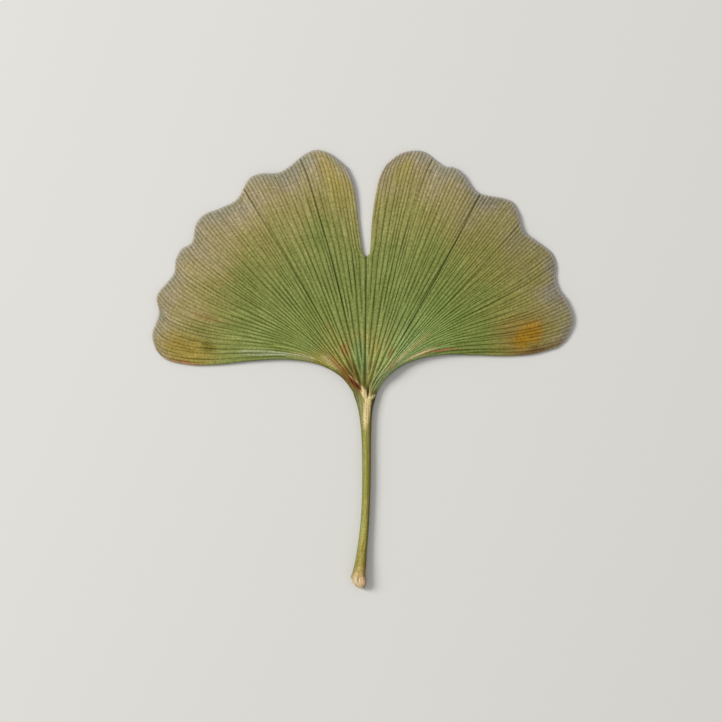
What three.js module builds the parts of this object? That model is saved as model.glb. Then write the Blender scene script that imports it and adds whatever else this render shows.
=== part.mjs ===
// A ginkgo leaf lying flat: a fan-shaped blade, cut by a deep notch into two lobes, that grew in one
// piece with its stalk. Millimetres, +Z up, stalk towards -Y, lobes towards +Y. The outline is given
// from the point where the stalk opens into the blade, and the finished leaf is then centred on Z.
import * as THREE from 'three';
import { LoftGeometry } from 'three/addons/geometries/LoftGeometry.js';

// Heights and thicknesses.
const BLADE_THICKNESS = 0.35;
const RIM_THICKNESS = 0.18;
const STALK_THROAT_HEIGHT = 1.5;
const SHOULDER_RIDGE_HEIGHT = 1.3;
const RIM_WAVE_HEIGHT = 0.9;
const RIM_WAVES = 7;

// How finely the leaf is divided.
const COLUMNS_PER_LOBE = 32;
const BLADE_ROWS = 17;
const STALK_ROWS = 9;

// The stalk, from its swollen cut end to the throat: [y, left edge, right edge, height].
const STALK = [
  [-36.5, -2.1, -0.8, 1.2],
  [-36.2, -2.6, -0.4, 1.8],
  [-34.1, -3.2, -0.3, 2.1],
  [-32.6, -2.6, -0.2, 1.9],
  [-29.5, -2.0, -0.1, 1.6],
  [-24, -1.3, 0.3, 1.4],
  [-16, -1.0, 0.6, 1.4],
  [-7, -1.2, 0.7, 1.4],
  [-2.5, -1.8, 1.0, 1.45],
  [0.7, -2.8, 1.9, STALK_THROAT_HEIGHT],
];

// The two lower margins, from the throat outwards: [x, y].
const LEFT_LOWER_MARGIN = [
  [-2.8, 0.7], [-5.0, 3.6], [-9.1, 5.9], [-15.0, 6.9], [-22.0, 6.6], [-29.0, 5.8], [-34.0, 5.8],
  [-38.5, 6.9], [-40.2, 8.6],
];
const RIGHT_LOWER_MARGIN = [
  [1.9, 0.7], [3.1, 2.6], [5.6, 5.0], [9.9, 6.9], [14.5, 7.7], [20.0, 7.7], [26.4, 7.5],
  [31.2, 7.9], [35.7, 9.0],
];

// The scalloped outer margin of each lobe, from its lower corner to the bottom of the notch: [x, y].
const LEFT_OUTER_MARGIN = [
  [-40.2, 8.6], [-40.9, 11.4], [-39.6, 15.7], [-40.0, 18.8], [-36.8, 23.2], [-36.4, 25.9],
  [-35.3, 27.8], [-33.4, 29.0], [-32.6, 32.4], [-31.2, 34.2], [-27.9, 35.6], [-24.9, 37.2],
  [-22.3, 41.3], [-20.2, 42.1], [-16.6, 42.4], [-11.9, 45.8], [-10.0, 46.6], [-7.8, 46.2],
  [-4.1, 43.3], [-2.8, 40.0], [-1.7, 33.0], [-0.9, 27.3], [-0.2, 26.5],
];
const RIGHT_OUTER_MARGIN = [
  [35.7, 9.0], [38.6, 12.5], [39.0, 14.6], [37.7, 18.1], [36.2, 20.2], [35.7, 22.4], [35.8, 24.8],
  [34.9, 27.0], [31.4, 29.7], [29.6, 31.1], [28.5, 34.8], [27.2, 36.9], [20.8, 38.7],
  [17.9, 42.3], [16.3, 43.3], [14.6, 43.5], [10.9, 46.2], [9.2, 46.5], [6.3, 45.9], [3.5, 43.8],
  [2.3, 41.4], [1.0, 34.5], [0.4, 27.5], [-0.2, 26.5],
];

function smoothCurve(points) {
  const knots = points.map(([x, y]) => new THREE.Vector3(x, y, 0));
  return new THREE.CatmullRomCurve3(knots, false, 'centripetal');
}

function smoothTable(rows, column) {
  return smoothCurve(rows.map((row) => [row[0], row[column]]));
}

const stalkLeft = smoothTable(STALK, 1);
const stalkRight = smoothTable(STALK, 2);
const stalkHeight = smoothTable(STALK, 3);
const leftLower = smoothCurve(LEFT_LOWER_MARGIN);
const rightLower = smoothCurve(RIGHT_LOWER_MARGIN);
const leftOuter = smoothCurve(LEFT_OUTER_MARGIN);
const rightOuter = smoothCurve(RIGHT_OUTER_MARGIN);

const { lerp, smoothstep } = THREE.MathUtils;
const bump = (x, centre, width) => Math.exp(-(((x - centre) / width) ** 2));

// across runs from 0 on the left lower margin to 1 on the right one; the notch is at 0.5.
function outerMargin(across) {
  return across < 0.5 ? leftOuter.getPointAt(2 * across) : rightOuter.getPointAt(2 - 2 * across);
}

// Spaces the columns over the stalk as equal angles round an oval.
const roundSpacing = (across) => (1 - Math.cos(Math.PI * across)) / 2;

// A point of the fan, stretched between its four edges; along runs from 0 at the throat to 1 at the rim.
function fanPoint(across, along) {
  const left = leftLower.getPointAt(along);
  const right = rightLower.getPointAt(along);
  const throatLeft = leftLower.getPoint(0);
  const throatRight = rightLower.getPoint(0);
  const throat = throatLeft.clone().lerp(throatRight, roundSpacing(across));
  const rim = outerMargin(across);
  const sides = left.lerp(right, across);
  const ends = throat.lerp(rim, along);
  const throatChord = throatLeft.lerp(throatRight, across);
  const rimChord = leftLower.getPoint(1).lerp(rightLower.getPoint(1), across);
  return sides.add(ends).sub(throatChord.lerp(rimChord, along));
}

// How far the underside stands off the surface: shoulders raised along both lower margins, and
// shallow waves that grow towards the rim. Everywhere else the leaf lies flat.
function lift(across, along) {
  const fromEdge = Math.min(across, 1 - across);
  const crest = lerp(0.13, 0.05, along);
  const shoulderSpan = smoothstep(along, 0.02, 0.15) * (1 - smoothstep(along, 0.35, 0.75));
  const shoulder = SHOULDER_RIDGE_HEIGHT * bump(fromEdge, crest, 0.06) * shoulderSpan;
  const rimSpan = smoothstep(along, 0.7, 1) * smoothstep(Math.abs(across - 0.5), 0.09, 0.16);
  const wave = RIM_WAVE_HEIGHT * Math.sin(Math.PI * RIM_WAVES * across) ** 2 * rimSpan;
  return Math.max(0, shoulder + wave - 0.02);
}

// A closed section runs over the top from left to right and back underneath, both sides sharing
// their end points.
function section(columns, topPoint, bottomPoint) {
  const points = [];
  for (let i = 0; i <= columns; i += 1) {
    points.push(topPoint(i / columns));
  }
  for (let i = columns - 1; i > 0; i -= 1) {
    points.push(bottomPoint(i / columns));
  }
  return points;
}

function stalkSection(step) {
  const left = stalkLeft.getPoint(step);
  const right = stalkRight.getPoint(step);
  const half = stalkHeight.getPoint(step).y / 2;
  const point = (across, side) => new THREE.Vector3(
    lerp(left.y, right.y, roundSpacing(across)),
    left.x,
    half + side * half * Math.sin(Math.PI * across),
  );
  return section(2 * COLUMNS_PER_LOBE, (u) => point(u, 1), (u) => point(u, -1));
}

function bladeSection(along) {
  const flattened = smoothstep(along, 0, 0.28);
  const bladeThickness = lerp(BLADE_THICKNESS, RIM_THICKNESS, smoothstep(along, 0.8, 1));
  const half = lerp(STALK_THROAT_HEIGHT, bladeThickness, flattened) / 2;
  const closing = along < 1 ? 1 : 0;
  const point = (across, side) => {
    const place = fanPoint(across, along);
    const edge = Math.sin(Math.PI * Math.min(across, 1 - across, 0.02) / 0.04);
    const fullness = closing * lerp(Math.sin(Math.PI * across), edge, flattened);
    place.z = lift(across, along) + half + side * half * fullness;
    return place;
  };
  return section(2 * COLUMNS_PER_LOBE, (u) => point(u, 1), (u) => point(u, -1));
}

function buildLeaf() {
  const sections = [];
  for (let row = 0; row < STALK_ROWS; row += 1) {
    sections.push(stalkSection(row / STALK_ROWS));
  }
  for (let row = 0; row <= BLADE_ROWS; row += 1) {
    const step = row / BLADE_ROWS;
    sections.push(bladeSection(step * lerp(0.6, 1, step)));
  }
  const geometry = new LoftGeometry(sections, { capStart: true });
  geometry.computeBoundingBox();
  const middle = geometry.boundingBox.getCenter(new THREE.Vector3());
  geometry.translate(-middle.x, -middle.y, -geometry.boundingBox.min.z);
  const olive = new THREE.MeshStandardMaterial({ color: 0x7d8247, roughness: 0.6, metalness: 0 });
  const leaf = new THREE.Mesh(geometry, olive);
  leaf.name = 'ginkgo_leaf';
  return leaf;
}

const model = new THREE.Group();
model.add(buildLeaf());

export default model;
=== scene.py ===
import math

import bpy
import numpy as np
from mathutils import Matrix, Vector


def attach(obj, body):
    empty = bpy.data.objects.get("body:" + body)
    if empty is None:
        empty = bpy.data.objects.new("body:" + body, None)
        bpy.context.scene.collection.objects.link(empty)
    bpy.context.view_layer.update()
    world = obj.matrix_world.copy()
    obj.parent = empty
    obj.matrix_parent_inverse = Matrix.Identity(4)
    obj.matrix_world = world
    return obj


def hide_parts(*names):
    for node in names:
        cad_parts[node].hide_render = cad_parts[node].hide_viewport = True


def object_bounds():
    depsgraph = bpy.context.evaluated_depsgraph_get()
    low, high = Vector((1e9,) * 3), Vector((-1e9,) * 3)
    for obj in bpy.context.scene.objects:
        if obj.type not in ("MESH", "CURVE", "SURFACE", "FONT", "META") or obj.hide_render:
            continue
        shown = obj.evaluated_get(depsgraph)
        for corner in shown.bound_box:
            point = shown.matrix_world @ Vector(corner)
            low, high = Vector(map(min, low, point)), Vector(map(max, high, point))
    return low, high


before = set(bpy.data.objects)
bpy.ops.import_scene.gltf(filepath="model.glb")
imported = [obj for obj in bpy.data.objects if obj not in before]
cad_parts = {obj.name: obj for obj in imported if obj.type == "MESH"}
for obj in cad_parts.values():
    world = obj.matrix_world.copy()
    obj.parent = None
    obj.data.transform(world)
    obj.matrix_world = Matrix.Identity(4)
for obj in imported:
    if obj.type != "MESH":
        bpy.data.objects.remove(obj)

cad_low, cad_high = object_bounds()
scene = bpy.context.scene


# ---------------------------------------------------------------- camera
# A long lens looks straight down on the leaf, so that no part of it leans. The
# leaf fills a little over half of the view and lies just below its middle.
LENS_MM = 100
SENSOR_MM = 36
# As shares of the leaf's width: how wide the view is, and how far its middle lies to
# the left of the leaf's middle and above it.
VIEW_WIDTH = 1.718
VIEW_TO_THE_LEFT = 0.0036
VIEW_ABOVE = 0.0190
leaf_width = cad_high.x - cad_low.x
leaf_middle = (cad_low + cad_high) / 2

camera_data = bpy.data.cameras.new("camera")
camera_data.lens = LENS_MM
camera_data.sensor_width = SENSOR_MM
camera = bpy.data.objects.new("camera", camera_data)
camera.location = (
    leaf_middle.x - VIEW_TO_THE_LEFT * leaf_width,
    leaf_middle.y + VIEW_ABOVE * leaf_width,
    VIEW_WIDTH * leaf_width * LENS_MM / SENSOR_MM,
)
scene.collection.objects.link(camera)
scene.camera = camera


# ---------------------------------------------------------------- leaf: sheet
# A ginkgo leaf grows in one piece: two lobes of thin leathery tissue open out of
# a slender stalk, and a deep notch parts them. Each lobe is spun here between
# its lower margin, its scalloped rim and its inner edge, as its veins run.

# The outline, in millimetres from the throat, where the stalk opens.
LOWER_MARGIN = {
    "left": [
        (-2.8, 0.7), (-5.1, 3.5), (-9.2, 5.75), (-15.0, 6.75), (-22.0, 6.45), (-29.0, 5.7),
        (-34.0, 5.75), (-38.5, 6.8), (-40.2, 8.6),
    ],
    "right": [
        (1.9, 0.7), (3.1, 2.6), (5.6, 5.0), (9.9, 6.85), (14.5, 7.6), (20.0, 7.6), (26.4, 7.4),
        (31.2, 7.75), (35.7, 8.9),
    ],
}
RIM = {
    "left": [
        (-40.2, 8.6), (-40.9, 11.4), (-39.6, 15.7), (-40.0, 18.8), (-36.8, 23.2), (-36.4, 25.9),
        (-35.3, 27.8), (-33.4, 29.0), (-32.6, 32.4), (-31.2, 34.2), (-27.9, 35.6), (-24.9, 37.2),
        (-22.3, 41.3), (-20.2, 42.1), (-16.6, 42.4), (-11.9, 45.8), (-10.0, 46.6), (-7.8, 46.2),
        (-4.1, 43.3),
    ],
    "right": [
        (35.7, 8.9), (37.5, 10.3), (38.7, 12.5), (39.0, 14.6), (37.7, 18.1), (36.2, 20.2),
        (35.7, 22.4), (35.8, 24.8), (34.9, 27.0), (31.4, 29.7), (29.6, 31.1), (28.5, 34.8), (27.2, 36.9),
        (20.6, 38.7), (17.8, 42.2), (16.3, 43.3), (14.6, 43.5), (10.9, 46.2), (9.2, 46.5),
        (6.3, 45.9), (3.5, 43.8),
    ],
}
NOTCH_SIDE = {
    "left": [(-0.2, 26.3), (-0.65, 26.5), (-0.9, 27.4), (-1.65, 33.0), (-2.7, 40.0), (-4.1, 43.3)],
    "right": [(-0.2, 26.3), (0.2, 26.5), (0.4, 27.5), (0.9, 34.5), (2.2, 41.4), (3.5, 43.8)],
}
# The line that the veins beside the notch follow, which has no corner at its bottom.
INNER_GUIDE = {
    "left": [
        (-0.45, 0.7), (-0.4, 9), (-0.35, 18), (-0.75, 26.3), (-1.65, 33.0), (-2.7, 40.0), (-4.1, 43.3),
    ],
    "right": [
        (-0.45, 0.7), (-0.35, 9), (-0.2, 18), (0.15, 26.3), (0.9, 34.5), (2.2, 41.4), (3.5, 43.8),
    ],
}
# The stalk, from its swollen cut end to the throat: y, left edge, right edge, height.
STALK = [
    (-36.6, -1.4, -1.0, 0.3), (-36.5, -1.75, -0.65, 1.1), (-36.0, -2.4, -0.35, 1.7),
    (-35.3, -3.0, -0.2, 2.0), (-34.6, -3.2, -0.33, 2.1), (-33.6, -2.9, -0.37, 2.0),
    (-32.2, -2.5, -0.25, 1.85), (-29.5, -2.0, -0.1, 1.6), (-24, -1.3, 0.3, 1.4), (-16, -1.0, 0.6, 1.4),
    (-7, -1.2, 0.7, 1.4), (-2.5, -1.8, 1.0, 1.45), (0.7, -2.8, 1.9, 1.5),
]
THROAT = (-0.45, 0.7)
OUTLINE_LENGTH = 83.15
MM = (cad_high.y - cad_low.y) / OUTLINE_LENGTH

# Thicknesses and heights, and how far they reach, in millimetres.
BLADE_THICKNESS = 0.34
RIM_THICKNESS = 0.22
THROAT_HEIGHT = 1.5
EDGE_ROUNDING = 0.25
RESTING_LIFT = 0.15
SHOULDER_HEIGHT = 1.2
SHOULDER_INSET = 2.0
SHOULDER_FADE = 4.5
RIM_WAVE_HEIGHT = 0.35
# The pocket in the upper face where the two halves of the stalk part.
HOLLOW_PLACE = (0.1, 0.9)
HOLLOW_REACH = (0.35, 1.1)
HOLLOW_DEPTH = 0.45
WAVES_PER_LOBE = 3.5

# The veins fork four times on their way from the throat to the rim, each within
# one of these stretches. The columns of the mesh double ahead of each of them.
THROAT_VEINS = 10
FORK_STRETCHES = [(0.04, 0.10), (0.10, 0.22), (0.22, 0.46), (0.46, 0.96)]
COLUMNS_PER_VEIN = 6
DOUBLINGS = (0.0, 0.04, 0.10, 0.22)
# How far along the blade the notch begins, and the rows of the mesh on either side of it.
NOTCH_START = 0.59
ROWS_TO_NOTCH = 29
ROWS_PAST_NOTCH = 20
STALK_STEP = 0.5
ROUND_OFF = 1e-9


def smooth_curve(knots, steps=24):
    """A centripetal Catmull-Rom curve through the knots, as a dense run of points."""
    knots = np.array(knots, float)
    ring = np.vstack([2 * knots[0] - knots[1], knots, 2 * knots[-1] - knots[-2]])
    t = np.linspace(0, 1, steps, endpoint=False)[:, None]
    passage = 3 * t**2 - 2 * t**3
    runs = []
    for a, b, c, d in zip(ring, ring[1:], ring[2:], ring[3:]):
        ab, bc, cd = (math.sqrt(np.linalg.norm(q - p)) for p, q in ((a, b), (b, c), (c, d)))
        leave = (c - b) + bc * ((b - a) / ab - (c - a) / (ab + bc))
        arrive = (c - b) + bc * ((d - c) / cd - (d - b) / (bc + cd))
        bend = (t**3 - 2 * t**2 + t) * leave + (t**3 - t**2) * arrive
        runs.append((1 - passage) * b + passage * c + bend)
    return np.vstack(runs + [knots[-1:]])


def step_lengths(run):
    """The length of each step of a run of points."""
    return np.linalg.norm(np.diff(run, axis=0), axis=1)


def running_total(steps):
    """The sum of the steps that lie before each point."""
    return np.concatenate([[0], np.cumsum(steps)])


def place_along(curve, fractions, steps=None):
    """Points at fractions of a curve's length, or of the sum of the given steps."""
    travelled = running_total(step_lengths(curve) if steps is None else steps)
    travelled /= travelled[-1]
    return np.column_stack([np.interp(fractions, travelled, curve[:, k]) for k in (0, 1)])


def fan_steps(curve):
    """How far each step of the rim goes round the throat, so that veins reach it evenly."""
    middle = (curve[1:] + curve[:-1]) / 2
    step = np.diff(curve, axis=0)
    turn = np.abs(middle[:, 0] * step[:, 1] - middle[:, 1] * step[:, 0])
    return turn / np.linalg.norm(middle, axis=1) + 0.05 * step_lengths(curve)


def ease(low, high, x):
    """A smooth rise from 0 at low to 1 at high."""
    t = np.clip((x - low) / (high - low), 0, 1)
    return t * t * (3 - 2 * t)


def throat_spacing(inward):
    """How far across its half of the throat each vein of a lobe starts."""
    return 1 - (1 - inward) ** 0.9


def lobe_row(side, inward, along):
    """One row of a lobe, from its lower margin (inward 0) to its inner edge (inward 1)."""
    lower, rim, inner, guide = edges[side]
    throat = lower[0] + (np.array(THROAT) - lower[0]) * throat_spacing(inward)[:, None]
    veins = throat + (place_along(rim, inward, fan_steps(rim)) - throat) * along
    inner_place = place_along(inner, [along], inner_steps[side])
    guide_place = place_along(guide, [along])
    # The veins bow as the edges do, and less the further they lie from each edge.
    lower_bow = place_along(lower, [along]) - (lower[0] + (lower[-1] - lower[0]) * along)
    inner_bow = guide_place - (inner[0] + (inner[-1] - inner[0]) * along)
    lower_pull = np.cos(math.pi / 2 * inward) ** (2 + 3 * ease(0, 0.15, along))
    inner_pull = inward ** (1 + 4 * ease(0, 0.3, along))
    notch_pull = inward ** 30
    notch_bow = inner_place - guide_place
    bows = ((lower_pull, lower_bow), (inner_pull, inner_bow), (notch_pull, notch_bow))
    return veins + sum(pull[:, None] * bow for pull, bow in bows)


# Each lobe's lower margin, rim, inner edge and inner guide. The inner edge is the middle
# line as far as the notch and then the notch's side, and its steps are stretched so that
# the notch starts in the same row in both lobes.
middle_line = np.linspace(THROAT, NOTCH_SIDE["left"][0], 60)
edges = {}
inner_steps = {}
for side in ("left", "right"):
    notch_side = smooth_curve(NOTCH_SIDE[side])
    edges[side] = (
        smooth_curve(LOWER_MARGIN[side]),
        smooth_curve(RIM[side]),
        np.vstack([middle_line, notch_side[1:]]),
        smooth_curve(INNER_GUIDE[side]),
    )
    to_notch = step_lengths(middle_line)
    past_notch = step_lengths(notch_side)
    inner_steps[side] = np.concatenate([
        NOTCH_START * to_notch / to_notch.sum(),
        (1 - NOTCH_START) * past_notch / past_notch.sum(),
    ])

# Rows lie from -1 at the cut end to 0 at the throat and 1 at the rim. They crowd where the
# surface turns over, at the cut end and at the rim.
stalk_curve = {k: smooth_curve([(row[0], row[k]) for row in STALK]) for k in (1, 2, 3)}
stalk_length = THROAT[1] - STALK[0][0]
stalk_stations = [-1, -0.9993, -0.9982, -0.996, -0.992]
stalk_stations += list(np.arange(-0.985, -1e-6, STALK_STEP / stalk_length))
blade_stations = list(np.linspace(0, NOTCH_START, ROWS_TO_NOTCH + 1))
blade_stations += list(np.linspace(NOTCH_START, 0.985, ROWS_PAST_NOTCH + 1)[1:])
blade_stations += [0.993, 0.998, 1]


def column_count(along):
    """Columns in each lobe."""
    doubled = sum(along >= start - ROUND_OFF for start in DOUBLINGS)
    return THROAT_VEINS // 2 * COLUMNS_PER_VEIN * 2**doubled


def edge_distance(along, plan):
    """Millimetres from each point of a row to the nearest edge of the leaf."""
    from_lower = running_total(step_lengths(plan))
    from_rim = (1 - along) * np.linalg.norm(plan - THROAT, axis=1)
    nearest = np.minimum(from_lower, from_rim)
    if along >= NOTCH_START - ROUND_OFF:
        nearest = np.minimum(nearest, from_lower[-1] - from_lower)
    return nearest


def leaf_row(side, along):
    """A row's points seen from above, how full the leaf is at each, and its half thickness."""
    inward = np.linspace(0, 1, column_count(along) + 1)
    at_throat = throat_spacing(inward)
    if along < 0:
        y = THROAT[1] + along * stalk_length
        left, right, height = (np.interp(y, *stalk_curve[k].T) for k in (1, 2, 3))
        edge = left if side == "left" else right
        middle = (left + right) / 2
        round_spacing = 1 - np.cos(math.pi / 2 * inward)
        spacing = round_spacing + (at_throat - round_spacing) * ease(-0.2, 0, along)
        plan = np.column_stack([edge + (middle - edge) * spacing, np.full(len(inward), y)])
        return plan, np.sqrt(1 - (1 - spacing) ** 2), height / 2
    plan = lobe_row(side, inward, along)
    stalk_like = np.sqrt(1 - (1 - at_throat) ** 2)
    rounded = np.sqrt(np.clip(edge_distance(along, plan) / EDGE_ROUNDING, 0, 1))
    flat = ease(0, 0.22, along)
    blade = BLADE_THICKNESS + (RIM_THICKNESS - BLADE_THICKNESS) * ease(0.8, 1, along)
    half = THROAT_HEIGHT / 2 * (1 - flat) + blade / 2 * flat
    return plan, stalk_like * (1 - flat) + rounded * flat, half


def lift(inward, along, from_lower):
    """How far the underside stands off the surface, in millimetres."""
    span = ease(0.02, 0.12, along) * (1 - ease(0.3, 0.8, along))
    rolled = 0.3 + 0.7 * np.sin(math.pi / 2 * np.clip(from_lower / SHOULDER_INSET, 0, 1))
    fading = np.exp(-((np.maximum(from_lower - SHOULDER_INSET, 0) / SHOULDER_FADE) ** 2))
    shoulder = SHOULDER_HEIGHT * rolled * fading * span * (1 - inward**3)
    wave = RIM_WAVE_HEIGHT * np.sin(WAVES_PER_LOBE * math.pi * inward) ** 2 * ease(0.7, 1, along)
    return RESTING_LIFT * ease(0, 0.2, along) + shoulder + wave


def throat_hollow(plan):
    """How deep the pocket is under each point of a row."""
    offset = (plan - HOLLOW_PLACE) / HOLLOW_REACH
    return HOLLOW_DEPTH * np.exp(-(offset**2).sum(axis=1))


# Creases, where the blade has folded lightly along a vein: where each meets the
# rim, how far it drifts sideways on its way in, where it ends, and its depth.
CREASES = [
    (0.3187, 0.006, 0.35, 0.6), (0.4250, 0.0, 0.35, 0.7), (0.5000, 0.0, 0.12, 0.15),
    (0.5812, -0.006, 0.60, 0.5), (0.6812, 0.017, 0.30, 1.0), (0.7687, 0.006, 0.50, 0.6),
    (0.8625, 0.0, 0.55, 0.35),
]
CREASE_WIDTH = 0.0013


def crease_depth(across, along):
    """How deep the creases are at each point of a row, from 0 to 1."""
    depth = 0 * across
    for at_rim, drift, inner_end, strength in CREASES:
        centre = at_rim + drift * (1 - along) / (1 - inner_end)
        spread = CREASE_WIDTH / max(along, 0.1) ** 0.7
        reach = ease(inner_end - 0.1, inner_end + 0.1, along)
        depth = depth + strength * reach * np.exp(-(((across - centre) / spread) ** 2))
    return depth


points = []
faces = []
face_kinds = []
point_values = {"across": [], "along": [], "edge": [], "crease": [], "upper": []}


def add_row(side, along):
    """Adds a row's upper and lower points and returns their numbers."""
    plan, fullness, half = leaf_row(side, along)
    inward = np.linspace(0, 1, len(plan))
    across = inward / 2 if side == "left" else 1 - inward / 2
    from_lower = running_total(step_lengths(plan))
    raised = lift(inward, along, from_lower) if along > 0 else 0 * inward
    rows = []
    for face in (1, -1):
        z = raised + half + face * half * fullness
        if face > 0:
            z = z - throat_hollow(plan) * fullness
        rows.append(range(len(points), len(points) + len(plan)))
        points.extend(np.column_stack([plan, z]))
        point_values["across"].extend(across)
        point_values["along"].extend(0 * inward + along)
        point_values["edge"].extend(edge_distance(along, plan) if along >= 0 else from_lower)
        point_values["crease"].extend(crease_depth(across, along) if along > 0 else 0 * inward)
        point_values["upper"].extend(0 * inward + (face + 1) / 2)
    return rows


def join_rows(near, far, turned):
    """Faces between two rows; where the far row has twice as many points, three to each gap."""
    made = []
    for i in range(len(near) - 1):
        a, b = near[i], near[i + 1]
        if len(far) > len(near):
            c, d, e = far[2 * i : 2 * i + 3]
            made += [(a, d, c), (a, b, d), (b, e, d)]
        else:
            made.append((a, b, far[i + 1], far[i]))
    return [face[::-1] for face in made] if turned else made


for side in ("left", "right"):
    last_rows = None
    for along in stalk_stations + blade_stations:
        rows = add_row(side, along)
        if last_rows:
            for face, turned in ((0, side == "right"), (1, side == "left")):
                strip = join_rows(last_rows[face], rows[face], turned)
                faces += strip
                face_kinds += [(face, along <= 0)] * len(strip)
        else:
            cut_end = list(rows[0]) + list(rows[1])[:0:-1]
            faces.append(cut_end[::-1] if side == "left" else cut_end)
            face_kinds.append(("cut end", True))
        last_rows = rows

# Points that the two lobes and the two faces share become one, and the leaf is centred
# where the CAD leaf is.
_, kept, numbers = np.unique(np.round(points, 4), axis=0, return_index=True, return_inverse=True)
numbers = numbers.reshape(-1)
places = np.array(points)[kept]
leaf_shift = leaf_middle.xy / MM - Vector((places.max(0) + places.min(0))[:2]) / 2
throat_place = Vector((leaf_shift.x * MM, leaf_shift.y * MM, 0))

sheet = bpy.data.meshes.new("leaf_sheet")
clean_faces = []
clean_kinds = []
for face, kind in zip(faces, face_kinds):
    corners = list(dict.fromkeys(int(numbers[corner]) for corner in face))
    if len(corners) > 2:
        clean_faces.append(corners)
        clean_kinds.append(kind)
sheet.from_pydata((places + [*leaf_shift, 0]) * MM, [], clean_faces)
sheet.polygons.foreach_set("use_smooth", [True] * len(sheet.polygons))
for name, values in point_values.items():
    layer = sheet.attributes.new(name, "FLOAT", "POINT")
    layer.data.foreach_set("value", np.array(values, np.float32)[kept])

# The sheet laid out flat in a square, for painting: the upper face of the blade, its lower
# face above that, and beside them the two faces of the stalk, unrolled, and its cut end,
# enlarged. In millimetres.
FLAT_SIDE = 93.4
BLADE_PLACE = (41.2, -0.4)
LOWER_FACE_ABOVE = 46.9
STALK_PLACE = (82.0, 37.0)
STALK_FACES_APART = 6.0
STALK_UNROLLED = 5.0
CUT_END_PLACE = (90.0, 40.0)
CUT_END_ENLARGED = 4.0
place_across = np.array(point_values["across"])[kept]


def flat_place(corner, face, on_stalk):
    """Where a corner of a face lies in the square, in millimetres."""
    x, y, z = places[corner]
    if face == "cut end":
        return CUT_END_ENLARGED * x + CUT_END_PLACE[0], CUT_END_ENLARGED * z + CUT_END_PLACE[1]
    if on_stalk:
        unrolled = STALK_FACES_APART * face + STALK_UNROLLED * place_across[corner]
        return unrolled + STALK_PLACE[0], y + STALK_PLACE[1]
    return x + BLADE_PLACE[0], y + BLADE_PLACE[1] + LOWER_FACE_ABOVE * face


flat = sheet.uv_layers.new(name="OFBake")
flat_places = [
    flat_place(corner, *kind)
    for corners, kind in zip(clean_faces, clean_kinds)
    for corner in corners
]
flat.data.foreach_set("uv", np.array(flat_places).ravel() / FLAT_SIDE)
leaf = bpy.data.objects.new("leaf", sheet)
scene.collection.objects.link(leaf)


# ---------------------------------------------------------------- leaf: veins
# Ten veins leave the throat and fork four times, always in two, so that 160 reach
# the rim. Between them the tissue sinks into furrows: deep ones at the throat,
# hair lines at the rim. The tissue also puckers a little as it dries.
VEINS = {
    "Veins at the throat": THROAT_VEINS,
    "Fork length": 0.06,
    "Furrow depth at the throat": 0.15 * MM,
    "Furrow depth at the rim": 0.08 * MM,
    "Crease depth": 0.16 * MM,
    "Pucker height": 0.17 * MM,
    "Pucker size": 5.0 * MM,
    "Seed": 7,
}
# Near the throat the ribs are narrow with broad furrows between them, and towards the
# rim they are broad with hair lines between them. They sharpen over this stretch.
SHARPENING = (0.08, 0.45)
THROAT_SHARPNESS = 0.6
RIM_SHARPNESS = 4.6


def add(tree, kind, inputs=None, **settings):
    """Adds a node with its settings. An input takes a value, another node or an output.

    An input goes by its name or its number. 0 is what a Map Range reads, 1 and 2 are its
    limits, and 3 and 4 what they become. 0 is how far a Mix goes from its first side, 2 or
    6, to its second, 3 or 7.
    """
    made = tree.nodes.new(kind)
    for name, value in settings.items():
        setattr(made, name, value)
    for socket, value in (inputs or {}).items():
        if isinstance(value, bpy.types.Node):
            value = next(output for output in value.outputs if output.enabled)
        if isinstance(value, bpy.types.NodeSocket):
            tree.links.new(value, made.inputs[socket])
        else:
            made.inputs[socket].default_value = value
    return made


raising = bpy.data.node_groups.new("raise_veins", "GeometryNodeTree")
raising.interface.new_socket("Geometry", in_out="OUTPUT", socket_type="NodeSocketGeometry")
raising.interface.new_socket("Geometry", in_out="INPUT", socket_type="NodeSocketGeometry")
raising.interface.new_socket("Material", in_out="INPUT", socket_type="NodeSocketMaterial")
for name, value in VEINS.items():
    kind = "NodeSocketInt" if isinstance(value, int) else "NodeSocketFloat"
    raising.interface.new_socket(name, in_out="INPUT", socket_type=kind)
given = add(raising, "NodeGroupInput").outputs
across = add(raising, "GeometryNodeInputNamedAttribute", {"Name": "across"}, data_type="FLOAT")
# The right margin itself, at 1, belongs to the last strip.
across = add(raising, "ShaderNodeMath", {0: across, 1: 0.99999}, operation="MINIMUM")
along = add(raising, "GeometryNodeInputNamedAttribute", {"Name": "along"}, data_type="FLOAT")
crease = add(raising, "GeometryNodeInputNamedAttribute", {"Name": "crease"}, data_type="FLOAT")
upper = add(raising, "GeometryNodeInputNamedAttribute", {"Name": "upper"}, data_type="FLOAT")

sharpness = add(
    raising, "ShaderNodeMapRange",
    {0: along, 1: SHARPENING[0], 2: SHARPENING[1], 3: THROAT_SHARPNESS, 4: RIM_SHARPNESS},
)

# At the rim every vein lies in the middle of its own strip of the leaf. A furrow is 0
# on the vein and 1 halfway to the next.
veins = add(
    raising, "ShaderNodeMath",
    {0: given["Veins at the throat"], 1: 2.0 ** len(FORK_STRETCHES)},
    operation="MULTIPLY",
)
place = add(raising, "ShaderNodeMath", {0: across, 1: veins}, operation="MULTIPLY")
place = add(raising, "ShaderNodeMath", {0: place}, operation="FRACT")
place = add(raising, "ShaderNodeMath", {0: place, 1: 0.5}, operation="SUBTRACT")
place = add(raising, "ShaderNodeMath", {0: place}, operation="ABSOLUTE")
place = add(raising, "ShaderNodeMath", {0: place, 1: 2.0}, operation="MULTIPLY")
furrow = add(raising, "ShaderNodeMath", {0: place, 1: sharpness}, operation="POWER")

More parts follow.
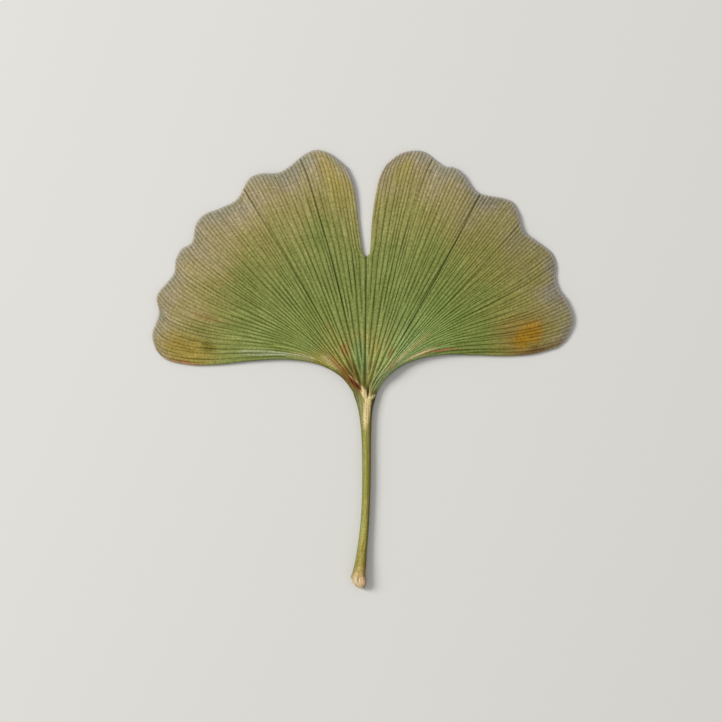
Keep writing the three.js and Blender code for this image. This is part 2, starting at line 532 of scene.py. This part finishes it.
# Working inwards, each fork halves the number of veins from a place of its own.
for generation in reversed(range(len(FORK_STRETCHES))):
    first, last = FORK_STRETCHES[generation]
    veins = add(
        raising, "ShaderNodeMath",
        {0: given["Veins at the throat"], 1: 2.0**generation},
        operation="MULTIPLY",
    )
    place = add(raising, "ShaderNodeMath", {0: across, 1: veins}, operation="MULTIPLY")
    strip = add(raising, "ShaderNodeMath", {0: place}, operation="FLOOR")
    place = add(raising, "ShaderNodeMath", {0: place}, operation="FRACT")
    place = add(raising, "ShaderNodeMath", {0: place, 1: 0.5}, operation="SUBTRACT")
    from_middle = add(raising, "ShaderNodeMath", {0: place}, operation="ABSOLUTE")
    latest = add(raising, "ShaderNodeMath", {0: last, 1: given["Fork length"]}, operation="SUBTRACT")
    seed = add(raising, "ShaderNodeMath", {0: given["Seed"], 1: float(generation)})
    draw = add(
        raising, "FunctionNodeRandomValue",
        {2: first, 3: latest, "ID": strip, "Seed": seed},
        data_type="FLOAT",
    )
    fork = draw.outputs[1]
    # Over the fork a vein's two halves part smoothly, from the middle of the strip to a
    # quarter of it on either side, and a furrow opens between them.
    fork_end = add(raising, "ShaderNodeMath", {0: fork, 1: given["Fork length"]})
    parted = add(
        raising, "ShaderNodeMapRange", {0: along, 1: fork, 2: fork_end},
        interpolation_type="SMOOTHSTEP",
    )
    vein_place = add(raising, "ShaderNodeMath", {0: parted, 1: 0.25}, operation="MULTIPLY")
    outer_half = add(raising, "ShaderNodeMath", {0: 0.5, 1: vein_place}, operation="SUBTRACT")
    between = add(raising, "ShaderNodeMath", {0: from_middle, 1: vein_place}, operation="LESS_THAN")
    half = add(
        raising, "ShaderNodeMix", {0: between, 2: outer_half, 3: vein_place}, data_type="FLOAT"
    )
    half = add(raising, "ShaderNodeMath", {0: half, 1: 1e-4}, operation="MAXIMUM")
    from_vein = add(raising, "ShaderNodeMath", {0: from_middle, 1: vein_place}, operation="SUBTRACT")
    from_vein = add(raising, "ShaderNodeMath", {0: from_vein}, operation="ABSOLUTE")
    level = add(raising, "ShaderNodeMath", {0: from_vein, 1: half}, operation="DIVIDE")
    level = add(raising, "ShaderNodeMath", {0: level, 1: sharpness}, operation="POWER")
    shallow = add(raising, "ShaderNodeMath", {0: level, 1: parted}, operation="MULTIPLY")
    level = add(raising, "ShaderNodeMix", {0: between, 2: level, 3: shallow}, data_type="FLOAT")
    done = add(raising, "ShaderNodeMath", {0: parted, 1: 0.9999}, operation="GREATER_THAN")
    furrow = add(raising, "ShaderNodeMix", {0: done, 2: level, 3: furrow}, data_type="FLOAT")

# The furrows are faint where the veins crowd beside the lower margins, and run out on the stalk.
from_right = add(raising, "ShaderNodeMath", {0: 1.0, 1: across}, operation="SUBTRACT")
from_margin = add(raising, "ShaderNodeMath", {0: across, 1: from_right}, operation="MINIMUM")
crowded = add(raising, "ShaderNodeMapRange", {0: from_margin, 1: 0.05, 2: 0.18, 3: 0.4, 4: 1.0})
opened = add(raising, "ShaderNodeMapRange", {0: along, 1: 0.2, 2: 0.45})
crowding = add(raising, "ShaderNodeMix", {0: opened, 2: crowded, 3: 1.0}, data_type="FLOAT")
furrow = add(raising, "ShaderNodeMath", {0: furrow, 1: crowding}, operation="MULTIPLY")
on_blade = add(raising, "ShaderNodeMapRange", {0: along, 1: -0.03, 2: 0.04, 3: 0.1, 4: 1.0})
furrow = add(raising, "ShaderNodeMath", {0: furrow, 1: on_blade}, operation="MULTIPLY")
stored = add(
    raising, "GeometryNodeStoreNamedAttribute",
    {"Geometry": given["Geometry"], "Name": "furrow", "Value": furrow},
    data_type="FLOAT", domain="POINT",
)
depth = add(
    raising, "ShaderNodeMapRange",
    {
        0: along, 1: 0.05, 2: 0.6,
        3: given["Furrow depth at the throat"], 4: given["Furrow depth at the rim"],
    },
    interpolation_type="SMOOTHSTEP",
)
sunk = add(raising, "ShaderNodeMath", {0: furrow, 1: depth}, operation="MULTIPLY")
creased = add(raising, "ShaderNodeMath", {0: crease, 1: given["Crease depth"]}, operation="MULTIPLY")
creased = add(raising, "ShaderNodeMath", {0: creased, 1: upper}, operation="MULTIPLY")
sunk = add(raising, "ShaderNodeMath", {0: sunk, 1: creased})
sunk = add(raising, "ShaderNodeMath", {0: sunk, 1: -1.0}, operation="MULTIPLY")
normal = add(raising, "GeometryNodeInputNormal")
inward_push = add(raising, "ShaderNodeVectorMath", {0: normal, 3: sunk}, operation="SCALE")

# The pucker lifts both faces alike, so it is read from the place on the floor.
position = add(raising, "GeometryNodeInputPosition")
floor_place = add(raising, "ShaderNodeVectorMath", {0: position, 1: (1, 1, 0)}, operation="MULTIPLY")
pucker_scale = add(raising, "ShaderNodeMath", {0: 1.0, 1: given["Pucker size"]}, operation="DIVIDE")
pucker = add(
    raising, "ShaderNodeTexNoise",
    {"Vector": floor_place, "Scale": pucker_scale, "Detail": 2.0},
    normalize=True,
)
pucker_height = add(
    raising, "ShaderNodeMapRange",
    {0: along, 1: 0.08, 2: 0.35, 3: 0.0, 4: given["Pucker height"]},
)
pucker = add(raising, "ShaderNodeMath", {0: pucker, 1: pucker_height}, operation="MULTIPLY")
upward = add(raising, "ShaderNodeCombineXYZ", {2: pucker})
offset = add(raising, "ShaderNodeVectorMath", {0: inward_push, 1: upward})
moved = add(raising, "GeometryNodeSetPosition", {"Geometry": stored, "Offset": offset})
realized = add(raising, "GeometryNodeRealizeInstances", {"Geometry": moved})
finished = add(
    raising, "GeometryNodeSetMaterial", {"Geometry": realized, "Material": given["Material"]}
)
add(raising, "NodeGroupOutput", {"Geometry": finished})


# ---------------------------------------------------------------- leaf: tissue
# Fresh ginkgo tissue is a waxy, satin olive green that turns tan from the rim inwards as it ages, with
# golden and rusty stains. The veins stay paler than the furrows, and painted shade in the furrows and
# painted highlights on the veins add to that. The stalk is a yellower green, and its cut end and the
# throat are cream.

# Sizes of its patterns and the height of its grain, in millimetres.
BLOTCH_SIZE = 6
WANDER_SIZE = 4
SPECKLE_SIZE = 0.35
GRAIN_HEIGHT = 0.05
# The wax makes it satin, neither matt nor glossy.
ROUGHNESS = 0.55
WAX_IOR = 1.45
SPECULAR_LEVEL = 0.2


def linear(colour):
    """An sRGB hex colour as linear red, green, blue and alpha."""
    parts = [int(colour[k : k + 2], 16) / 255 for k in (1, 3, 5)]
    return [p / 12.92 if p <= 0.04045 else ((p + 0.055) / 1.055) ** 2.4 for p in parts] + [1]


# Colours of the ribs from the throat to the rim of each lobe.
LEFT_COLOURS = [
    (0.00, "#6c5c28"), (0.06, "#6e682a"), (0.12, "#7e8138"), (0.20, "#807a34"), (0.30, "#707a38"),
    (0.40, "#74803a"), (0.50, "#7e8744"), (0.60, "#858c48"), (0.70, "#8f8f4c"), (0.80, "#9d9356"),
    (0.88, "#aa9d6c"), (0.94, "#ac9e7b"), (1.00, "#a09a82"),
]
RIGHT_COLOURS = [
    (0.00, "#808a54"), (0.06, "#859056"), (0.12, "#7a8b4c"), (0.20, "#6e8246"), (0.30, "#6c7e3e"),
    (0.40, "#778742"), (0.50, "#76843d"), (0.60, "#7d8540"), (0.70, "#8b8a45"), (0.80, "#8e8949"),
    (0.88, "#938a54"), (0.94, "#948b62"), (1.00, "#8c8470"),
]
# The stalk's colours from its cut end to the throat.
STALK_COLOURS = [
    (0.000, "#ffe0b8"), (0.045, "#ffe4bc"), (0.080, "#e8cc90"), (0.120, "#c2b45e"), (0.300, "#bab662"),
    (0.550, "#b0ac56"), (0.800, "#aeaa5c"), (0.930, "#b8b272"), (1.000, "#a89e5c"),
]
# Painted shading across the round stalk from its left edge to its right, as a share of its colour:
# painted shade at both edges where it turns from the light, and on the right partly its own darker
# olive.
STALK_PAINTED_SHADING = [
    (0.00, "#6c7466"), (0.14, "#a2aaa6"), (0.32, "#cfd1cb"), (0.50, "#f2f0ea"), (0.67, "#dcd2b0"),
    (0.86, "#8c8354"), (1.00, "#443e1c"),
]
# Stains and paler patches, some of these partly painted light, each an oval: where it lies across and
# along the leaf, its reach both ways, its turn in degrees, its colour and how strongly it shows.
STAINS_AND_PAINTED_LIGHT = [
    ((0.028, 0.83), (0.038, 0.17), 0, "#a08c3c", 0.9),
    ((0.042, 0.72), (0.018, 0.04), 0, "#6e661c", 0.8),
    ((0.003, 0.86), (0.007, 0.14), 0, "#9c6636", 0.8),
    ((0.200, 0.68), (0.080, 0.10), 0, "#7c8440", 0.6),
    ((0.500, 0.74), (0.110, 0.16), 0, "#9c9658", 0.5),
    ((0.955, 0.76), (0.055, 0.17), 0, "#93783a", 0.85),
    ((0.960, 0.79), (0.032, 0.10), 0, "#a37a14", 0.9),
    ((0.996, 0.86), (0.012, 0.16), 0, "#6a4a26", 0.8),
    ((0.978, 0.36), (0.010, 0.12), 0, "#9a6a40", 0.8),
    ((0.468, 0.88), (0.030, 0.13), 0, "#a89748", 0.6),
    ((0.540, 0.90), (0.022, 0.06), 0, "#aca055", 0.6),
    ((0.405, 0.68), (0.035, 0.10), 0, "#788540", 0.7),
    ((0.640, 0.66), (0.070, 0.12), 0, "#7e8a42", 0.4),
    ((0.360, 0.75), (0.070, 0.10), 0, "#a49e60", 0.4),
    ((0.580, 0.74), (0.080, 0.10), 0, "#9c9c56", 0.35),
    ((0.100, 0.76), (0.010, 0.12), 0, "#9a7048", 0.4),
    # Partly painted light: paler patches that lift the shade on the raised shoulders beside the throat.
    ((0.150, 0.15), (0.090, 0.07), 0, "#a89a62", 0.7),
    ((0.840, 0.16), (0.080, 0.10), 0, "#a8a468", 0.7),
    ((0.460, 0.15), (0.085, 0.13), 0, "#667a3e", 0.8),
    ((0.840, 0.27), (0.050, 0.09), 0, "#9c9250", 0.5),
    # Partly painted light: a pale band along the right lower margin, above its shaded rolled edge.
    ((0.958, 0.25), (0.020, 0.10), 0, "#b8a46c", 0.75),
    ((0.030, 0.30), (0.035, 0.09), 0, "#a49c64", 0.55),
    # Partly painted light: a pale band along the left lower margin, above its shaded rolled edge.
    ((0.025, 0.46), (0.016, 0.15), 0, "#a8ac84", 0.8),
]
# Scars, shades and cream marks about the throat, down the stalk and on the cut end, among them painted
# shade in the slit at the throat and a painted highlight on the cut end's left bulge. They are given as
# the stains are, but in millimetres from the throat.
MARKS = [
    ((-5.60, 5.80), (0.75, 2.60), 47, "#96632e", 0.55),
    ((-4.20, 8.60), (1.00, 1.60), 20, "#8a5c30", 0.50),
    ((-2.90, 5.20), (0.90, 2.60), 28, "#6c5424", 0.45),
    ((4.60, 5.80), (0.80, 2.20), -38, "#8c7c48", 0.50),
    ((4.50, 8.00), (0.38, 1.50), -35, "#6e4620", 0.60),
    ((-0.12, -2.70), (0.78, 4.20), -4, "#ecd29a", 0.85),
    ((-0.42, 0.10), (0.66, 2.10), 28, "#f0d89c", 1.0),
    ((0.85, -0.35), (0.40, 1.00), -52, "#d4c686", 0.90),
    ((-3.10, 3.00), (0.95, 3.20), 45, "#85521f", 0.50),
    ((-2.35, 2.15), (0.46, 2.20), 46, "#6a2e0c", 0.85),
    ((-1.75, 1.65), (0.28, 0.80), 47, "#4a1c06", 0.75),
    ((-2.55, 3.05), (0.16, 1.50), 48, "#d2b48a", 0.55),
    # The dark slit in the pocket where the stalk's two halves part: partly a brown mark, partly painted
    # shade.
    ((0.12, 0.62), (0.26, 1.30), -4, "#3c180a", 0.95),
    ((-1.30, -30.00), (0.20, 4.60), -13, "#8c7832", 0.60),
    ((-0.10, -14.00), (0.18, 9.00), 0, "#848030", 0.50),
    ((-1.70, -34.30), (0.28, 1.50), -12, "#b4904a", 0.75),
    ((-0.95, -35.10), (0.70, 1.10), 10, "#ffd2a6", 0.70),
    # The pale left bulge of the cut end: partly cream, partly a painted highlight.
    ((-2.75, -35.30), (0.28, 1.10), 32, "#eee0c4", 0.70),
]

tissue = bpy.data.materials.new("waxy_ginkgo_tissue")
tissue.use_nodes = True
tree = tissue.node_tree
tree.nodes.clear()
across = add(tree, "ShaderNodeAttribute", attribute_name="across").outputs["Fac"]
along = add(tree, "ShaderNodeAttribute", attribute_name="along").outputs["Fac"]
edge = add(tree, "ShaderNodeAttribute", attribute_name="edge").outputs["Fac"]
crease = add(tree, "ShaderNodeAttribute", attribute_name="crease").outputs["Fac"]
furrow = add(tree, "ShaderNodeAttribute", attribute_name="furrow").outputs["Fac"]
upper = add(tree, "ShaderNodeAttribute", attribute_name="upper").outputs["Fac"]
place = add(tree, "ShaderNodeTexCoord").outputs["Object"]

# Blotches shift the colours, so that green gives way to tan in uneven tongues.
blotch = add(
    tree, "ShaderNodeTexNoise", {"Vector": place, "Scale": 1 / (BLOTCH_SIZE * MM), "Detail": 3.0}
)
shift = add(tree, "ShaderNodeMapRange", {0: blotch, 1: 0.25, 2: 0.75, 3: -0.07, 4: 0.07})
aged = add(tree, "ShaderNodeMath", {0: along, 1: shift})
down_stalk = add(tree, "ShaderNodeMath", {0: along, 1: 1.0})
ramps = []
for colours, fraction in (
    (LEFT_COLOURS, aged), (RIGHT_COLOURS, aged), (STALK_COLOURS, down_stalk), (STALK_PAINTED_SHADING, across)
):
    ramp = add(tree, "ShaderNodeValToRGB", {0: fraction})
    ramp.color_ramp.elements.remove(ramp.color_ramp.elements[1])
    for number, (position, colour) in enumerate(colours):
        stop = ramp.color_ramp.elements.new(position) if number else ramp.color_ramp.elements[0]
        stop.position = position
        stop.color = linear(colour)
    ramps.append(ramp)
left_colour, right_colour, stalk_colour, stalk_painted_shading = ramps
rightness = add(
    tree, "ShaderNodeMapRange", {0: across, 1: 0.50, 2: 0.80}, interpolation_type="SMOOTHSTEP"
)
colour = add(
    tree, "ShaderNodeMix", {0: rightness, 6: left_colour, 7: right_colour}, data_type="RGBA"
)


def paint_ovals(colour, place, ovals, outside, inside):
    """Lays ovals over a colour; each fades in from outside to inside, as shares of its reach."""
    # Height doesn't count, so it is divided away.
    for centre, reach, turn, oval_colour, strength in ovals:
        away = add(
            tree, "ShaderNodeMapping",
            {
                "Vector": place,
                "Location": (*centre, 0),
                "Rotation": (0, 0, math.radians(turn)),
                "Scale": (*reach, 1000),
            },
            vector_type="TEXTURE",
        )
        away = add(tree, "ShaderNodeVectorMath", {0: away}, operation="LENGTH").outputs["Value"]
        cover = add(
            tree, "ShaderNodeMapRange",
            {0: away, 1: outside, 2: inside, 3: 0.0, 4: strength},
            interpolation_type="SMOOTHSTEP",
        )
        colour = add(
            tree, "ShaderNodeMix", {0: cover, 6: colour, 7: linear(oval_colour)}, data_type="RGBA"
        )
    return colour


# The outlines of the ovals wander: the stains' as the tissue ages unevenly, and those of the painted
# light with them.
fan_place = add(tree, "ShaderNodeCombineXYZ", {0: across, 1: along})
wander = add(
    tree, "ShaderNodeTexNoise", {"Vector": place, "Scale": 1 / (WANDER_SIZE * MM), "Detail": 3.0}
)
wander = add(tree, "ShaderNodeVectorMath", {0: wander.outputs["Color"], 1: (-0.5, -0.5, -0.5)})
wander = add(tree, "ShaderNodeVectorMath", {0: wander, 1: (0.03, 0.12, 0)}, operation="MULTIPLY")
spot = add(tree, "ShaderNodeVectorMath", {0: fan_place, 1: wander})
colour = paint_ovals(colour, spot, STAINS_AND_PAINTED_LIGHT, outside=1.15, inside=0.25)

# The blade's colours give way to the stalk's at the throat. The marks lie on the upper face only.
stalkness = add(
    tree, "ShaderNodeMapRange", {0: along, 1: 0.03, 2: -0.03}, interpolation_type="SMOOTHSTEP"
)
# The stalk's colour is multiplied by its painted shading.
stalk_colour = add(
    tree, "ShaderNodeMix", {0: 1.0, 6: stalk_colour, 7: stalk_painted_shading},
    data_type="RGBA", blend_type="MULTIPLY",
)
unmarked = add(tree, "ShaderNodeMix", {0: stalkness, 6: colour, 7: stalk_colour}, data_type="RGBA")
near_throat = add(
    tree, "ShaderNodeMapping",
    {"Vector": place, "Location": throat_place, "Scale": (MM, MM, 1)},
    vector_type="TEXTURE",
)
marked = paint_ovals(unmarked, near_throat, MARKS, outside=1.1, inside=0.5)
colour = add(tree, "ShaderNodeMix", {0: upper, 6: unmarked, 7: marked}, data_type="RGBA")

# Streaks along the veins make some of them paler and others darker. These are how many
# lie across and along the stalk, the throat and the blade.
streaks = []
for number, lengths in ((14, 5), (80, 5), (230, 7)):
    stretched = add(
        tree, "ShaderNodeVectorMath", {0: fan_place, 1: (number, lengths, 1)}, operation="MULTIPLY"
    )
    streaks.append(
        add(tree, "ShaderNodeTexNoise", {"Vector": stretched, "Scale": 1.0, "Detail": 3.0})
    )
on_fan = add(tree, "ShaderNodeMapRange", {0: along, 1: -0.03, 2: 0.05})
spread_out = add(tree, "ShaderNodeMapRange", {0: along, 1: 0.15, 2: 0.45})
streak = add(tree, "ShaderNodeMix", {0: on_fan, 2: streaks[0], 3: streaks[1]}, data_type="FLOAT")
streak = add(tree, "ShaderNodeMix", {0: spread_out, 2: streak, 3: streaks[2]}, data_type="FLOAT")
aging = add(tree, "ShaderNodeMapRange", {0: along, 1: 0.45, 2: 0.9})
palest = add(tree, "ShaderNodeMix", {0: aging, 2: 1.36, 3: 1.16}, data_type="FLOAT")
darkest = add(tree, "ShaderNodeMix", {0: aging, 2: 0.66, 3: 0.84}, data_type="FLOAT")
streak_tone = add(tree, "ShaderNodeMapRange", {0: streak, 1: 0.3, 2: 0.7, 3: darkest, 4: palest})

# Grain: rows of cells lie across the veins. They are too fine to show, so only 115 rows
# are drawn from the throat to the rim, 0.4 mm apart, and a second noise speckles them.
cells = add(tree, "ShaderNodeVectorMath", {0: fan_place, 1: (110, 115, 1)}, operation="MULTIPLY")
grain = add(tree, "ShaderNodeTexNoise", {"Vector": cells, "Scale": 1.0, "Detail": 2.0})
grain_tone = add(tree, "ShaderNodeMapRange", {0: grain, 1: 0.3, 2: 0.7, 3: 0.85, 4: 1.15})
speckle = add(
    tree, "ShaderNodeTexNoise", {"Vector": place, "Scale": 1 / (SPECKLE_SIZE * MM), "Detail": 3.0}
)
speckle_tone = add(tree, "ShaderNodeMapRange", {0: speckle, 1: 0.3, 2: 0.7, 3: 0.78, 4: 1.22})
tone = add(tree, "ShaderNodeMath", {0: streak_tone, 1: grain_tone}, operation="MULTIPLY")
tone = add(tree, "ShaderNodeMath", {0: tone, 1: speckle_tone}, operation="MULTIPLY")
tone = add(tree, "ShaderNodeMath", {0: tone, 1: 1.0}, operation="SUBTRACT")
# Where the tissue is darker it is also a purer green.
tone = add(
    tree, "ShaderNodeVectorMath", {0: tone, 1: (1.0, 0.97, 1.5), 2: (1, 1, 1)},
    operation="MULTIPLY_ADD",
)
colour = add(tree, "ShaderNodeVectorMath", {0: colour, 1: tone}, operation="MULTIPLY")

# From the throat outwards the veins show as narrow, pale cords on the green: partly their own paler
# colour, partly a painted highlight on the ridges.
unsharpened = add(
    tree, "ShaderNodeMapRange",
    {0: along, 1: SHARPENING[0], 2: SHARPENING[1], 3: 1 / THROAT_SHARPNESS, 4: 1 / RIM_SHARPNESS},
)
from_vein = add(tree, "ShaderNodeMath", {0: furrow, 1: unsharpened}, operation="POWER")
cord = add(tree, "ShaderNodeMapRange", {0: from_vein, 1: 0.45, 2: 0.0})
cord_strength = add(tree, "ShaderNodeMapRange", {0: along, 1: 0.15, 2: 0.75, 3: 1.0, 4: 0.0})
on_blade = add(tree, "ShaderNodeMapRange", {0: along, 1: 0.0, 2: 0.06})
cord = add(tree, "ShaderNodeMath", {0: cord, 1: cord_strength}, operation="MULTIPLY")
cord = add(tree, "ShaderNodeMath", {0: cord, 1: on_blade}, operation="MULTIPLY")
paler = add(
    tree, "ShaderNodeVectorMath", {0: cord, 1: (0.8, 0.75, 1.3), 2: (1, 1, 1)},
    operation="MULTIPLY_ADD",
)
colour = add(tree, "ShaderNodeVectorMath", {0: colour, 1: paler}, operation="MULTIPLY")

# Furrows are darker and yellower than ribs, strongly so inside and faintly at the rim, and no two are
# equally deep. This is partly the tissue's own colour and partly painted shade in the grooves.
depths = add(tree, "ShaderNodeVectorMath", {0: fan_place, 1: (95, 3, 1)}, operation="MULTIPLY")
depths = add(tree, "ShaderNodeTexNoise", {"Vector": depths, "Scale": 1.0, "Detail": 1.0})
shallowest = add(tree, "ShaderNodeMix", {0: aging, 2: 0.45, 3: 0.75}, data_type="FLOAT")
depths = add(
    tree, "ShaderNodeMapRange", {0: depths, 1: 0.35, 2: 0.65, 3: shallowest, 4: 1.2}, clamp=False
)
narrowing = add(tree, "ShaderNodeMapRange", {0: along, 1: 0.10, 2: 0.45, 3: 5.0, 4: 1.0})
dark_line = add(tree, "ShaderNodeMath", {0: furrow, 1: narrowing}, operation="POWER")
dark_line = add(tree, "ShaderNodeMath", {0: dark_line, 1: depths}, operation="MULTIPLY")
outward = add(tree, "ShaderNodeMapRange", {0: along, 1: 0.5, 2: 0.9})
furrow_tint = add(
    tree, "ShaderNodeMix",
    {0: outward, 6: linear("#76822c"), 7: linear("#beb692")},
    data_type="RGBA",
)
darkened = add(
    tree, "ShaderNodeMix",
    {0: dark_line, 6: (1, 1, 1, 1), 7: furrow_tint},
    data_type="RGBA", clamp_factor=True,
)
colour = add(
    tree, "ShaderNodeMix", {0: 1.0, 6: colour, 7: darkened}, data_type="RGBA", blend_type="MULTIPLY"
)
# The creases are darkened into lines too, with painted shade in the folds.
colour = add(
    tree, "ShaderNodeMix", {0: crease, 6: colour, 7: linear("#8a9058")},
    data_type="RGBA", blend_type="MULTIPLY", clamp_factor=True,
)

# Beside the throat the margins roll under and lie in shade.
rolled = add(tree, "ShaderNodeMapRange", {0: edge, 1: 0.9, 2: 0.0, 3: 0.0, 4: 0.85})
low_down = add(tree, "ShaderNodeMapRange", {0: along, 1: 0.35, 2: 0.15})
rolled = add(tree, "ShaderNodeMath", {0: rolled, 1: low_down}, operation="MULTIPLY")
rolled = add(tree, "ShaderNodeMath", {0: rolled, 1: on_blade}, operation="MULTIPLY")
colour = add(
    tree, "ShaderNodeMix", {0: rolled, 6: colour, 7: linear("#5c6034")},
    data_type="RGBA", blend_type="MULTIPLY",
)

# A thin pale line is painted along the rim: partly the rim's own pale edge, partly painted light on the
# rounded edge, which otherwise lies in shade.
rim_line = add(tree, "ShaderNodeMapRange", {0: edge, 1: 0.5, 2: 0.1, 3: 0.0, 4: 0.75})
far_out = add(tree, "ShaderNodeMapRange", {0: along, 1: 0.75, 2: 0.95})
rim_line = add(tree, "ShaderNodeMath", {0: rim_line, 1: far_out}, operation="MULTIPLY")
colour = add(tree, "ShaderNodeMix", {0: rim_line, 6: colour, 7: linear("#b4aca4")}, data_type="RGBA")

# The underside is paler and greyer than the upper face.
underside = add(
    tree, "ShaderNodeMix",
    {0: upper, 6: (1.15, 1.15, 1.45, 1), 7: (1, 1, 1, 1)},
    data_type="RGBA",
)
colour = add(
    tree, "ShaderNodeMix", {0: 1.0, 6: colour, 7: underside}, data_type="RGBA", blend_type="MULTIPLY"
)

relief = add(
    tree, "ShaderNodeBump", {"Height": grain, "Distance": GRAIN_HEIGHT * MM, "Strength": 0.6}
)
skin = add(
    tree, "ShaderNodeBsdfPrincipled",
    {
        "Base Color": colour,
        "Roughness": ROUGHNESS,
        "IOR": WAX_IOR,
        "Specular IOR Level": SPECULAR_LEVEL,
        "Normal": relief,
    },
)
add(tree, "ShaderNodeOutputMaterial", {"Surface": skin})

# The veins are raised and the result is kept as the leaf's own mesh.
growing = leaf.modifiers.new("veins", "NODES")
growing.node_group = raising
for item in raising.interface.items_tree:
    if item.name in VEINS:
        growing[item.identifier] = VEINS[item.name]
    elif item.name == "Material":
        growing[item.identifier] = tissue
graph = bpy.context.evaluated_depsgraph_get()
grown = bpy.data.meshes.new_from_object(
    leaf.evaluated_get(graph), preserve_all_data_layers=True, depsgraph=graph
)
leaf.modifiers.remove(growing)
leaf.data = grown

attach(leaf, "root")
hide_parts("ginkgo_leaf")


# ---------------------------------------------------------------- floor and light
# The leaf lies on a plain floor of matt pale paper. One broad, soft lamp stands low at
# the upper left and draws out the veins, and an even white sky fills the shadows.
FLOOR_HALF_SIDE = 1.5
PAPER_COLOUR = "#e4e2dc"
PAPER_ROUGHNESS = 0.9
SKY_STRENGTH = 0.45
LAMP_PLACE = (-1.00, 0.40, 0.72)
LAMP_SIDE = 0.50
LAMP_WATTS = 14.4

floor_corners = [
    (x * FLOOR_HALF_SIDE, y * FLOOR_HALF_SIDE, cad_low.z)
    for x, y in ((-1, -1), (1, -1), (1, 1), (-1, 1))
]
floor_mesh = bpy.data.meshes.new("floor")
floor_mesh.from_pydata(floor_corners, [], [(0, 1, 2, 3)])
floor = bpy.data.objects.new("floor", floor_mesh)
scene.collection.objects.link(floor)
paper = bpy.data.materials.new("matt_pale_paper")
paper.use_nodes = True
matt_surface = paper.node_tree.nodes["Principled BSDF"]
matt_surface.inputs["Base Color"].default_value = linear(PAPER_COLOUR)
matt_surface.inputs["Roughness"].default_value = PAPER_ROUGHNESS
floor_mesh.materials.append(paper)

world = bpy.data.worlds.new("studio")
world.use_nodes = True
sky = world.node_tree.nodes["Background"]
sky.inputs["Color"].default_value = (1, 1, 1, 1)
sky.inputs["Strength"].default_value = SKY_STRENGTH
scene.world = world

lamp_data = bpy.data.lights.new("lamp", "AREA")
lamp_data.energy = LAMP_WATTS
lamp_data.size = LAMP_SIDE
lamp = bpy.data.objects.new("lamp", lamp_data)
lamp.location = LAMP_PLACE
lamp.rotation_euler = (leaf_middle - lamp.location).to_track_quat("-Z", "Y").to_euler()
scene.collection.objects.link(lamp)
scene.view_settings.view_transform = "Standard"
